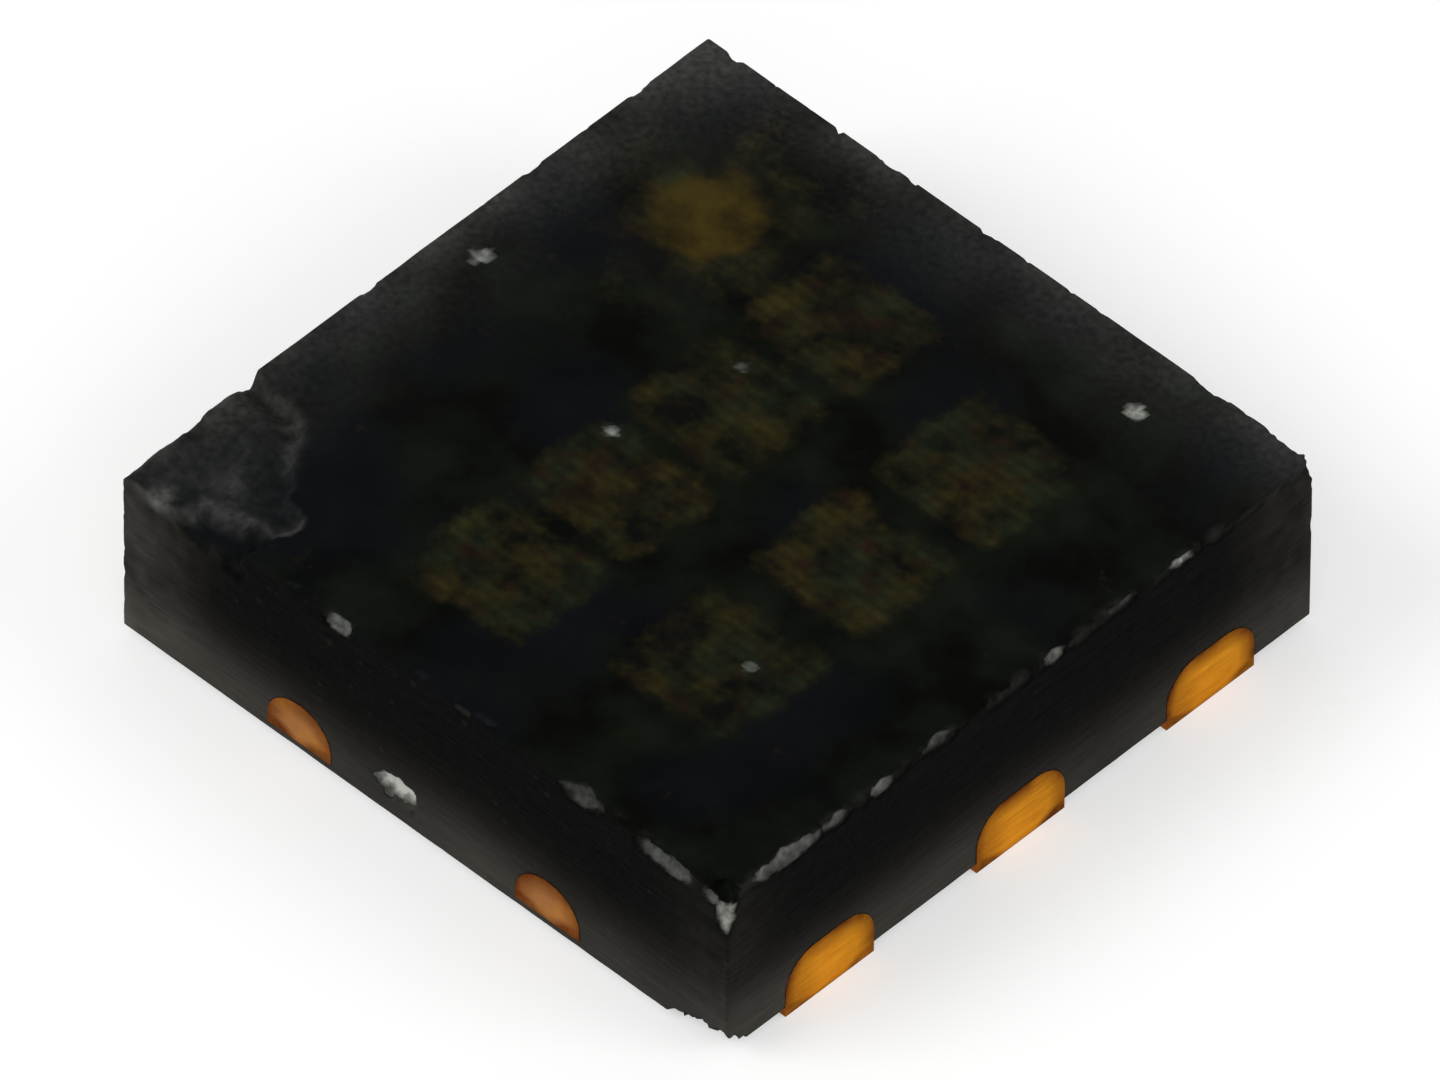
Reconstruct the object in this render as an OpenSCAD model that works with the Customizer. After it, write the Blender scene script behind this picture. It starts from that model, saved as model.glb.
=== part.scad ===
// Six-terminal leadless power package holding one MOSFET, standing on its terminals.
// The origin is the centre of the seating plane. Lead 1 is at -X +Y, under the dot,
// leads 1 to 3 run down the -X side and leads 4 to 6 up the +X side.

/* [Body] */
// Width of the moulded body, across the two rows of leads
body_x = 2.00; // [1.65:0.01:2.60]
// Length of the moulded body, along the rows
body_y = 2.00; // [1.65:0.01:2.60]
// Height of the top above the seating plane
body_h = 0.56; // [0.46:0.01:0.90]
// Height of the body's underside above the seating plane
standoff = 0.03; // [0.01:0.005:0.05]
// Radius of the four upright edges that the saw leaves
edge_r = 0.01; // [0.005:0.005:0.05]
// Diameter of the lead 1 dot
dot_d = 0.29; // [0.15:0.01:0.40]
// Depth of the lead 1 dot
dot_depth = 0.008; // [0.004:0.001:0.020]
// Distance of the dot's centre from the two nearest sides
dot_edge = 0.42; // [0.25:0.01:0.60]

/* [Broken corner] */
// Depth of the break where it meets the -X side
spall_depth = 0.03; // [0.02:0.005:0.06]
// Slope of its floor, which rises towards the middle of the body, in degrees
spall_tilt = 1.2; // [0.4:0.1:2.0]
// How far it runs along the -X side
spall_y = 0.46; // [0.20:0.01:0.60]
// How far it runs along the -Y side
spall_x = 0.37; // [0.20:0.01:0.60]
// Extra depth of the notch along its inner wall, at the -X side
notch_drop = 0.028; // [0.01:0.002:0.04]
// Width of the notch at the -X side
notch_w = 0.07; // [0.03:0.01:0.12]

/* [Leadframe] */
// Thickness of the copper sheet
frame_t = 0.178; // [0.12:0.001:0.21]
// Depth of the half etch under ledges, links and posts
etch = 0.085; // [0.05:0.001:0.10]
// Height of the tie bars' undersides, etched less deep
tie_low = 0.05; // [0.04:0.001:0.10]
// Pitch of the leads in each row
lead_pitch = 0.65; // [0.50:0.01:0.80]
// Width of a lead
lead_w = 0.30; // [0.20:0.01:0.38]
// Length of a lead's exposed underside
lead_l = 0.28; // [0.20:0.01:0.38]
// Radius that etching leaves along a lead's upper edges
lead_r = 0.10; // [0.02:0.005:0.12]
// Width of a tie bar
tie_w = 0.21; // [0.12:0.01:0.30]
// Distance of the tie bars from the middle of the body
tie_x = 0.41; // [0.30:0.01:0.55]
// Width of the chip's paddle across the rows
paddle_x = 1.16; // [0.95:0.01:1.40]
// Compound between the paddle or a post and the nearest sawn side
side_cover = 0.14; // [0.08:0.01:0.25]
// Half-etched ledge around each exposed pad
ledge = 0.08; // [0.04:0.01:0.12]
// Distance of a post's inner edge from the middle line of its lead
post_reach = 0.20; // [0.16:0.01:0.26]
// Gap between the posts and the paddle
frame_gap = 0.20; // [0.12:0.01:0.30]
// Gap between the gate post and the source post
post_gap = 0.28; // [0.16:0.01:0.40]
// Place of the middle of that gap along X
post_split = -0.12; // [-0.25:0.01:0.05]
// Width of the source post's exposed pad
source_pad_x = 0.34; // [0.20:0.01:0.45]
// Chamfer that marks the exposed paddle's corner beside lead 1
index_cut = 0.12; // [0.05:0.01:0.25]
// Corner radius of the paddle, posts and pads
pad_r = 0.04; // [0.01:0.005:0.08]

/* [Chip] */
// Width of the chip
die_x = 0.90; // [0.70:0.01:1.10]
// Length of the chip
die_y = 0.80; // [0.60:0.01:0.96]
// Thickness of the chip
die_t = 0.10; // [0.06:0.005:0.15]
// Thickness of the solder under the chip
solder_t = 0.02; // [0.01:0.005:0.04]
// How far the solder stands out around the chip
solder_edge = 0.02; // [0.01:0.005:0.05]
// Thickness of the metal on top of the chip
metal_t = 0.005; // [0.003:0.001:0.008]
// Bare silicon around the metal
metal_edge = 0.05; // [0.03:0.01:0.08]
// Side of the square gate pad
gate_pad = 0.14; // [0.11:0.01:0.18]
// Gap between the gate pad and the source metal
metal_gap = 0.04; // [0.02:0.01:0.06]

/* [Bond wires] */
// Diameter of a source wire
source_wire_d = 0.05; // [0.035:0.005:0.060]
// Diameter of the gate wire
gate_wire_d = 0.03; // [0.020:0.005:0.040]
// Height of a wire's loop above its ball
loop_h = 0.12; // [0.08:0.01:0.14]
// Distance of the near balls from the source metal's edge
ball_in = 0.12; // [0.08:0.01:0.20]
// Distance of the far balls behind the near ones
ball_stagger = 0.18; // [0.00:0.01:0.30]

/* [Hidden] */
$fn = 48;

// Sawn sides, and how far a cutter runs past them
side_x = body_x / 2;
side_y = body_y / 2;
past = 0.1;

// Limits of the two posts and of the paddle, which stays clear of them
post_low = -side_y + side_cover;
post_high = -lead_pitch + post_reach;
paddle_low = post_high + frame_gap;
paddle_high = side_y - side_cover;
paddle_mid = (paddle_low + paddle_high) / 2;

// Inner ends of the terminals and of the two posts
lead_end = side_x - lead_l;
gate_post_end = post_split - post_gap / 2;
source_post_end = post_split + post_gap / 2;

// Heights of the chip's faces
solder_top = frame_t + solder_t;
die_top = solder_top + die_t;
metal_top = die_top + metal_t;

// Limits of the metal on the chip
metal_left = -die_x / 2 + metal_edge;
metal_right = die_x / 2 - metal_edge;
metal_low = paddle_mid - die_y / 2 + metal_edge;
metal_high = paddle_mid + die_y / 2 - metal_edge;
gate_right = metal_left + gate_pad;

// Source wires are spread evenly over the source metal and over the post
source_wires = 4;
ball_step = (metal_right - gate_right - metal_gap) / source_wires;
stitch_step = (lead_end - source_post_end) / source_wires;
stitch_y = (post_low + post_high) / 2;

// Facets around a wire and steps along its loop
wire_sides = 12;
loop_steps = 10;

// Profile of a ball, as [height, radius] in wire diameters, and the height of its neck
ball_profile = [[0, 0.90], [0.14, 1.10], [0.34, 1.10], [0.46, 0.85]];
ball_neck = 0.55;

// Half length, half width and half thickness of a stitch, in wire diameters
stitch_half = [0.80, 0.75, 0.22];

// Wall of the break: the stretch beside its notch, then on round its tip to the -Y side.
// The points are shares of spall_x and spall_y, counted from the body's corner.
notch_wall = [[0, 1], [0.19, 0.98], [0.38, 0.957], [0.58, 0.90], [0.82, 0.70], [1.05, 0.51]];
tip_wall = [[1.20, 0.49], [1.27, 0.37], [1.18, 0.217], [1.11, 0]];

copper = [0.80, 0.49, 0.16];
compound = [0.08, 0.08, 0.09];
silicon = [0.42, 0.44, 0.50];
solder = [0.66, 0.67, 0.68];

// Flat shapes

// Rectangle from its low corner to its high corner, with true arcs at its corners
module plate(low, high, r) {
    size = high - low;
    translate(low + [r, 0]) square([size.x - 2 * r, size.y]);
    translate(low + [0, r]) square([size.x, size.y - 2 * r]);
    for (x = [low.x + r, high.x - r], y = [low.y + r, high.y - r])
        translate([x, y]) circle(r);
}

// Cross-section of an etched bar, cut flat at its bottom and round at its upper edges,
// with a smaller radius where the bar is narrow
module bar_section(w, bottom, radius) {
    r = min(radius, w / 2 - 0.005);
    intersection() {
        union() {
            translate([-w / 2, 0]) square([w, frame_t - r]);
            translate([-w / 2 + r, 0]) square([w - 2 * r, frame_t]);
            for (s = [-1, 1]) translate([s * (w / 2 - r), frame_t - r]) circle(r);
        }
        translate([-w, bottom]) square([2 * w, frame_t]);
    }
}

// Leadframe

// Upper half of the sheet, left after the half etch
module etched() {
    translate([0, 0, etch]) linear_extrude(frame_t - etch) children();
}

// Full thickness of the sheet, down to the seating plane
module full() {
    linear_extrude(frame_t) children();
}

// Bar along X at a given y, from x0 to x1
module bar_x(x0, x1, y, bottom) {
    translate([x0, y, 0]) rotate([90, 0, 90]) linear_extrude(x1 - x0)
        bar_section(lead_w, bottom, lead_r);
}

// Lead on the +X side: a full terminal with a round inner end, and its half-etched
// link inwards to x = inner. over is how far it runs past the sawn side.
module lead(y, inner, over) {
    bar_x(inner, side_x + over, y, etch);
    intersection() {
        bar_x(lead_end, side_x + over, y, 0);
        full() union() {
            translate([lead_end + lead_w / 2, y]) circle(lead_w / 2);
            translate([lead_end + lead_w / 2, y - lead_w / 2])
                square([lead_l + over, lead_w]);
        }
    }
}

// Tie bar from y = inner out past the +Y side
module tie_bar(x, inner, over) {
    length = side_y + over - inner;
    translate([x, inner + length, 0]) rotate([90, 0, 0]) linear_extrude(length)
        bar_section(tie_w, tie_low, lead_r);
}

module drain_frame(over = 0) {
    half = paddle_x / 2;
    pad_low = [-half + ledge, paddle_low + ledge];
    pad_high = [half - ledge, paddle_high - ledge];
    color(copper) {
        etched() plate([-half, paddle_low], [half, paddle_high], pad_r);
        full() difference() {
            plate(pad_low, pad_high, pad_r);
            translate([pad_low.x, pad_high.y]) rotate(45)
                square(index_cut * sqrt(2), center = true);
        }
        for (y = [0, lead_pitch]) {
            lead(y, half - pad_r, over);
            mirror([1, 0, 0]) lead(y, half - pad_r, over);
        }
        for (s = [-1, 1]) tie_bar(s * tie_x, paddle_high - pad_r, over);
    }
}

module source_lead(over = 0) {
    pad_left = source_post_end + ledge;
    color(copper) {
        etched() plate([source_post_end, post_low], [lead_end + pad_r, post_high], pad_r);
        full() plate([pad_left, post_low + ledge],
                     [pad_left + source_pad_x, post_high - ledge], pad_r);
        lead(-lead_pitch, lead_end, over);
        mirror([0, 1, 0]) tie_bar(tie_x, -post_low - pad_r, over);
    }
}

module gate_lead(over = 0) {
    color(copper) {
        etched() plate([-lead_end - pad_r, post_low], [gate_post_end, post_high], pad_r);
        mirror([1, 0, 0]) lead(-lead_pitch, lead_end, over);
        mirror([0, 1, 0]) tie_bar(-tie_x, -post_low - pad_r, over);
    }
}

// Chip

// Rectangle centred on the paddle
module on_paddle(x, y) {
    translate([0, paddle_mid]) square([x, y], center = true);
}

module die_attach() {
    grown = 2 * solder_edge;
    color(solder) translate([0, 0, frame_t]) linear_extrude(solder_t)
        on_paddle(die_x + grown, die_y + grown);
}

module mosfet_die() {
    color(silicon) {
        translate([0, 0, solder_top]) linear_extrude(die_t) on_paddle(die_x, die_y);
        translate([0, 0, die_top]) linear_extrude(metal_t) {
            translate([metal_left, metal_low]) square(gate_pad);
            difference() {
                translate([metal_left, metal_low])
                    square([metal_right - metal_left, metal_high - metal_low]);
                translate([metal_left - past, metal_low - past])
                    square(gate_pad + metal_gap + past);
            }
        }
    }
}

// Bond wires
// A wire is one skin over rings, each [run, height, direction, half width, half depth].
// Its ball is squashed on the chip, its loop is a cubic curve that leaves the ball
// upright, and its stitch is pressed flat on the post.

function on_curve(p, t) =
    pow(1 - t, 3) * p[0] + 3 * t * pow(1 - t, 2) * p[1]
    + 3 * t * t * (1 - t) * p[2] + pow(t, 3) * p[3];

function along_curve(p, t) =
    pow(1 - t, 2) * (p[1] - p[0]) + 2 * t * (1 - t) * (p[2] - p[1])
    + t * t * (p[3] - p[2]);

function ball_rings(d) = [
    for (step = ball_profile)
        [0, metal_top + step[0] * d, 90, step[1] * d, step[1] * d]
];

function loop_rings(d, run) =
    let (
        start = metal_top + ball_neck * d,
        curve = [[0, start], [0, start + 1.45 * loop_h], [run / 2, start + 1.25 * loop_h],
                 [run - 2 * stitch_half.x * d, frame_t + d / 2]]
    )
    [
        for (i = [0 : loop_steps])
            let (
                t = i / loop_steps,
                p = on_curve(curve, t),
                v = along_curve(curve, t)
            )
            [p[0], p[1], atan2(v[1], v[0]), d / 2, d / 2]
    ];

function stitch_rings(d, run) =
    let (half = stitch_half * d, middle = frame_t + half.z * cos(180 / wire_sides))
    [for (s = [-1, 1]) [run + s * half.x, middle, 0, half.y, half.z]];

function ring_points(ring) = [
    for (k = [0 : wire_sides - 1])
        let (turn = 360 * (k + 0.5) / wire_sides)
        [ring[0] - sin(ring[2]) * ring[4] * sin(turn),
         ring[3] * cos(turn),
         ring[1] + cos(ring[2]) * ring[4] * sin(turn)]
];

module skin(rings) {
    last = len(rings) - 1;
    points = [for (ring = rings) each ring_points(ring)];
    walls = [
        for (i = [0 : last - 1], k = [0 : wire_sides - 1])
            let (
                a = i * wire_sides + k,
                b = i * wire_sides + (k + 1) % wire_sides
            )
            each [[a, b + wire_sides, b], [a, a + wire_sides, b + wire_sides]]
    ];
    start_cap = [for (k = [0 : wire_sides - 1]) k];
    end_cap = [for (k = [wire_sides - 1 : -1 : 0]) last * wire_sides + k];
    polyhedron(points, concat(walls, [start_cap, end_cap]));
}

// Wire of diameter d from the ball's place on the chip to the stitch's on the post
module bond_wire(ball, stitch, d) {
    reach = stitch - ball;
    color(copper) translate([ball.x, ball.y, 0]) rotate([0, 0, atan2(reach.y, reach.x)])
        skin(concat(ball_rings(d), loop_rings(d, norm(reach)), stitch_rings(d, norm(reach))));
}

module source_wire(i) {
    ball_x = gate_right + metal_gap + (i - 0.5) * ball_step;
    ball_y = metal_low + ball_in + ((i + 1) % 2) * ball_stagger;
    stitch_x = source_post_end + (i - 0.5) * stitch_step;
    bond_wire([ball_x, ball_y], [stitch_x, stitch_y], source_wire_d);
}

module gate_wire() {
    middle = [metal_left + gate_pad / 2, metal_low + gate_pad / 2];
    bond_wire(middle, [(gate_post_end - lead_end) / 2, stitch_y], gate_wire_d);
}

// Moulded body

function from_corner(shares) = [for (share = shares) [share.x * spall_x, share.y * spall_y]];

// Cut from the top at the -X -Y corner, deepest at the -X side and rising inwards
module corner_cut(depth, tilt, outline) {
    translate([-side_x, -side_y, body_h - depth]) rotate([0, -tilt, 0])
        linear_extrude(3 * depth) polygon(outline);
}

// Flake broken out of the top, with a notch along its inner wall that runs out at the
// notch wall's end
module spall() {
    wall = from_corner(notch_wall);
    rest = from_corner(tip_wall);
    reach = wall[len(wall) - 1].x;
    corner_cut(spall_depth, spall_tilt,
               concat([[-past, spall_y]], wall, rest, [[spall_x, -past], [-past, -past]]));
    corner_cut(spall_depth + notch_drop, spall_tilt + atan(notch_drop / reach),
               concat([[-past, spall_y]], wall, [[0, spall_y - notch_w], [-past, spall_y - notch_w]]));
}

module mold_body() {
    color(compound) difference() {
        translate([0, 0, standoff]) linear_extrude(body_h - standoff)
            plate([-side_x, -side_y], [side_x, side_y], edge_r);
        spall();
        translate([dot_edge - side_x, side_y - dot_edge, body_h - dot_depth])
            cylinder(h = dot_depth + past, d = dot_d);
        drain_frame(past);
        source_lead(past);
        gate_lead(past);
        die_attach();
        mosfet_die();
        for (i = [1 : source_wires]) source_wire(i);
        gate_wire();
    }
}

mold_body();
drain_frame();
source_lead();
gate_lead();
die_attach();
mosfet_die();
source_wire(1);  // source_wire_1
source_wire(2);  // source_wire_2
source_wire(3);  // source_wire_3
source_wire(4);  // source_wire_4
gate_wire();
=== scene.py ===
import math

import bpy
import numpy as np
from mathutils import Matrix, Vector


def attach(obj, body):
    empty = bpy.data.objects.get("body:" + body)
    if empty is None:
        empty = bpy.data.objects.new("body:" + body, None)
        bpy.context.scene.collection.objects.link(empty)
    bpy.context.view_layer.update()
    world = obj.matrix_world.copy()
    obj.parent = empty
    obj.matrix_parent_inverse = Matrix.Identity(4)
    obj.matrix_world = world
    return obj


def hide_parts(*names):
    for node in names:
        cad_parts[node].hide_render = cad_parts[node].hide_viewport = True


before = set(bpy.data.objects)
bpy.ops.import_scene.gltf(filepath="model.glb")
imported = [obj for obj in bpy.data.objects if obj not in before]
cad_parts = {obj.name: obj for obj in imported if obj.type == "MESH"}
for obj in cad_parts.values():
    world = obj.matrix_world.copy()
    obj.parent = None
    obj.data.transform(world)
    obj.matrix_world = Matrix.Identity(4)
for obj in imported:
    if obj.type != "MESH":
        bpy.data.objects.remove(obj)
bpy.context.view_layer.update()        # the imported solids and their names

# A leadless power package, 2 mm square, on a pale table. Sizes are in mm here and become
# metres where a mesh, a lamp or the camera is made. Materials count in mm as well.
mm = 0.001
scene = bpy.context.scene


# sRGB hex text to a linear colour: a part c becomes c / 12.92 up to 0.04045, and above it
# ((c + 0.055) / 1.055) ^ 2.4
def linear(code):
    parts = np.array([int(code[i:i + 2], 16) / 255 for i in (1, 3, 5)])
    curve = np.where(parts <= 0.04045, parts / 12.92, ((parts + 0.055) / 1.055) ** 2.4)
    return (*curve.tolist(), 1.0)


# Adds a node, sets its properties or inputs, and links its inputs. A link's source is a
# socket, or a node whose first live output is meant.
def addNode(tree, kind, settings=None, links=None):
    node = tree.nodes.new(kind)
    for key, value in (settings or {}).items():
        if isinstance(key, str) and hasattr(node, key):
            setattr(node, key, value)
        else:
            node.inputs[key].default_value = value
    for key, source in (links or {}).items():
        if isinstance(source, bpy.types.Node):
            source = next(socket for socket in source.outputs if socket.enabled)
        tree.links.new(source, node.inputs[key])
    return node


# Noise with patches of this size
def noise(tree, place, size, detail, roughness=0.5):
    return addNode(tree, "ShaderNodeTexNoise",
                   {"Scale": 1 / size, "Detail": detail, "Roughness": roughness}, {"Vector": place})


# A value's place between low and high, from toLow to toHigh and never past them
def remap(tree, source, low, high, toLow=0.0, toHigh=1.0):
    return addNode(tree, "ShaderNodeMapRange", {"From Min": low, "From Max": high,
                                                "To Min": toLow, "To Max": toHigh}, {0: source})


# Arithmetic on numbers and sockets, in the order of the node's inputs
def calc(tree, operation, *terms):
    numbers = {i: term for i, term in enumerate(terms) if isinstance(term, (int, float))}
    sockets = {i: term for i, term in enumerate(terms) if i not in numbers}
    return addNode(tree, "ShaderNodeMath", {"operation": operation, **numbers}, sockets)


# From one colour to another by a share. A colour is a hex text or a socket.
def blend(tree, share, low, high):
    ends = {6: low, 7: high}
    colours = {key: linear(end) for key, end in ends.items() if isinstance(end, str)}
    sockets = {key: end for key, end in ends.items() if key not in colours}
    return addNode(tree, "ShaderNodeMix", {"data_type": "RGBA", **colours}, {0: share, **sockets})


# From one value to another by the share in a socket
def between(tree, share, low, high):
    return addNode(tree, "ShaderNodeMix", {"data_type": "FLOAT"}, {0: share, 2: low, 3: high})


# Noise drawn out into streaks, so many times as long on each axis as its patches
def streaks(tree, place, size, stretch):
    drawn = addNode(tree, "ShaderNodeVectorMath", {"operation": "DIVIDE", 1: stretch}, {0: place})
    return noise(tree, drawn, size, 2.0)


# Ends a material with its shader. The bump's heights are in mm once multiplied by unit.
def shade(tree, settings, colour, rough, height, unit):
    bump = addNode(tree, "ShaderNodeBump", {"Distance": unit * mm}, {"Height": height})
    shader = addNode(tree, "ShaderNodeBsdfPrincipled", settings,
                     {"Base Color": colour, "Roughness": rough, "Normal": bump})
    addNode(tree, "ShaderNodeOutputMaterial", None, {0: shader})


# A new material with an empty tree of nodes
def newMaterial(name):
    material = bpy.data.materials.new(name)
    material.use_nodes = True
    material.node_tree.nodes.clear()
    return material, material.node_tree


# The object's own coordinates, in mm
def placeInMm(tree):
    coords = addNode(tree, "ShaderNodeTexCoord")
    return addNode(tree, "ShaderNodeVectorMath", {"operation": "SCALE", "Scale": 1 / mm},
                   {0: coords.outputs["Object"]})


# Camera, where the photograph was taken from

shot = {
    "azimuth": 43.761,     # degrees from the -Y side towards the +X side
    "elevation": 46.339,
    "roll": 0.431,
    "distance": 110.47,
    "lens": 1162.6,
    "sensor": 36.0,
    "aim": (0.0, 0.0, 0.03),
    "aimAcross": -0.0072,  # the aim is this far off the middle of the picture
    "aimUp": -0.1845,
    "clip": (10.0, 400.0),
}


# Stands back from the aim along the line of sight, with its sides turned about that line by
# the roll and its place shifted across and up
def makeCamera():
    az, el, roll = (math.radians(shot[k]) for k in ("azimuth", "elevation", "roll"))
    back = Vector((math.sin(az) * math.cos(el), -math.cos(az) * math.cos(el), math.sin(el)))
    level = Vector((math.cos(az), math.sin(az), 0))
    rise = back.cross(level)
    right = level * math.cos(roll) + rise * math.sin(roll)
    up = rise * math.cos(roll) - level * math.sin(roll)
    place = Vector(shot["aim"]) + back * shot["distance"]
    place -= right * shot["aimAcross"] + up * shot["aimUp"]
    data = bpy.data.cameras.new("photoCamera")
    data.lens = shot["lens"]
    data.sensor_width = shot["sensor"]
    data.clip_start, data.clip_end = (end * mm for end in shot["clip"])
    camera = bpy.data.objects.new("photoCamera", data)
    turn = Matrix((right, up, back)).transposed().to_4x4()
    camera.matrix_world = Matrix.Translation(place * mm) @ turn
    scene.collection.objects.link(camera)
    scene.camera = camera


makeCamera()
print("camera placed")


# Table, world and lamps

studio = {
    "tableHalf": 60.0,
    "tableColour": "#cfcfcd",
    "tableLift": 0.45,     # added where the eye looks, so that the table reads white
    "ambient": 0.50,
    "ambientColour": "#fbfcff",
    "lamps": {
        # name: azimuth, elevation in degrees, distance, side, light on a level face
        "keySoftbox": (-30.0, 42.0, 150.0, 80.0, 0.30),
        "fillSoftbox": (115.0, 34.0, 150.0, 70.0, 0.13),
        "frontSoftbox": (44.0, 24.0, 150.0, 90.0, 0.08),
    },
}


# 1 for rays that the eye follows: from the camera, off a gloss or through glass
def seenRay(tree):
    path = addNode(tree, "ShaderNodeLightPath")
    first = calc(tree, "MAXIMUM", path.outputs["Is Camera Ray"], path.outputs["Is Glossy Ray"])
    return calc(tree, "MAXIMUM", first, path.outputs["Is Transmission Ray"])


# An even room that lights softly, and that the eye sees as white
def makeWorld():
    world = bpy.data.worlds.new("softRoom")
    world.use_nodes = True
    tree = world.node_tree
    tree.nodes.clear()
    room = addNode(tree, "ShaderNodeBackground",
                   {"Color": linear(studio["ambientColour"]), "Strength": studio["ambient"]})
    white = addNode(tree, "ShaderNodeBackground", {"Color": (1, 1, 1, 1), "Strength": 1.0})
    mix = addNode(tree, "ShaderNodeMixShader", None, {0: seenRay(tree), 1: room, 2: white})
    addNode(tree, "ShaderNodeOutputWorld", None, {0: mix})
    scene.world = world


# A flat square of matt paper at height 0, lifted to white where the eye looks
def makeTable():
    half = studio["tableHalf"] * mm
    mesh = bpy.data.meshes.new("table")
    corners = [(-half, -half, 0), (half, -half, 0), (half, half, 0), (-half, half, 0)]
    mesh.from_pydata(corners, [], [(0, 1, 2, 3)])
    table = bpy.data.objects.new("table", mesh)
    scene.collection.objects.link(table)
    material, tree = newMaterial("paperWhiteTable")
    paper = addNode(tree, "ShaderNodeBsdfDiffuse", {"Color": linear(studio["tableColour"])})
    lift = calc(tree, "MULTIPLY", seenRay(tree), studio["tableLift"])
    glow = addNode(tree, "ShaderNodeEmission", {"Color": (1, 1, 1, 1)}, {"Strength": lift})
    both = addNode(tree, "ShaderNodeAddShader", None, {0: paper, 1: glow})
    addNode(tree, "ShaderNodeOutputMaterial", None, {0: both})
    mesh.materials.append(material)


# Square softboxes that face the middle. The light on a level face, as a share of white, is
# radiance / pi x the softbox's solid angle x the sine of its elevation.
def makeLamps():
    for name, (az, el, distance, side, level) in studio["lamps"].items():
        a, e = math.radians(az), math.radians(el)
        away = Vector((math.sin(a) * math.cos(e), -math.cos(a) * math.cos(e), math.sin(e)))
        lamp = bpy.data.lights.new(name, "AREA")
        lamp.size = side * mm
        radiance = level * math.pi * distance ** 2 / (side ** 2 * math.sin(e))
        lamp.energy = radiance * math.pi * (side * mm) ** 2
        holder = bpy.data.objects.new(name, lamp)
        holder.location = away * distance * mm
        holder.rotation_euler = away.to_track_quat("Z", "Y").to_euler()
        scene.collection.objects.link(holder)


makeWorld()
makeTable()
makeLamps()
scene.view_settings.view_transform = "Standard"
print("studio set")


# Noise and soft steps

tiny = 1e-9     # keeps a division from zero


# Seeded random heights on a square lattice of this size, blended smoothly, from -1 to 1. The
# lattice repeats after count steps, and the shifts keep its own lines off the middle.
def patches(a, b, size, seed):
    count, shiftA, shiftB = 97, 41.3, 29.7
    heights = np.random.default_rng(seed).uniform(-1, 1, (count, count))
    ga, gb = a / size + shiftA, b / size + shiftB
    ia, ib = np.floor(ga).astype(int), np.floor(gb).astype(int)
    fa, fb = ga - ia, gb - ib
    fa, fb = fa * fa * (3 - 2 * fa), fb * fb * (3 - 2 * fb)
    a0, a1, b0, b1 = ia % count, (ia + 1) % count, ib % count, (ib + 1) % count
    low = heights[a0, b0] * (1 - fa) + heights[a1, b0] * fa
    high = heights[a0, b1] * (1 - fa) + heights[a1, b1] * fa
    return low * (1 - fb) + high * fb


# Sum of three flat noises, on the planes xy, yz and zx, divided by its spread, so that it is
# one field in space without seams, from about -1 to 1
def lumps(p, size, seed):
    spread = 1.7
    x, y, z = p.T
    planes = ((x, y), (y, z), (z, x))
    return sum(patches(a, b, size, seed + i) for i, (a, b) in enumerate(planes)) / spread


# Layers of noise added up, on a plane and in space. Each layer is its height, the size of its
# patches and its seed.
def flatNoise(a, b, layers):
    return sum(height * patches(a, b, size, seed) for height, size, seed in layers)


def spaceNoise(p, layers):
    return sum(height * lumps(p, size, seed) for height, size, seed in layers)


# 0 below low, 1 above high, and t * t * (3 - 2 t) between them, t being the share of the way
def ease(value, low, high):
    t = np.clip((value - low) / (high - low), 0, 1)
    return t * t * (3 - 2 * t)


# 1 in the middle, fading to both sides: exp(-((value - middle) / width) ^ 2)
def bell(value, middle, width):
    return np.exp(-((value - middle) / width) ** 2)


# Points of a mesh, in mm
def pointsOf(mesh):
    flat = np.empty(len(mesh.vertices) * 3, np.float32)
    mesh.vertices.foreach_get("co", flat)
    return flat.reshape(-1, 3) / mm


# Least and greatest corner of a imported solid, to four places
def solidBox(name):
    points = pointsOf(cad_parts[name].data).astype(float)
    return points.min(axis=0).round(4), points.max(axis=0).round(4)


# Moulded body: a sawn block with a dot, laser fields, chipped arrises and a broken corner

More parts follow.
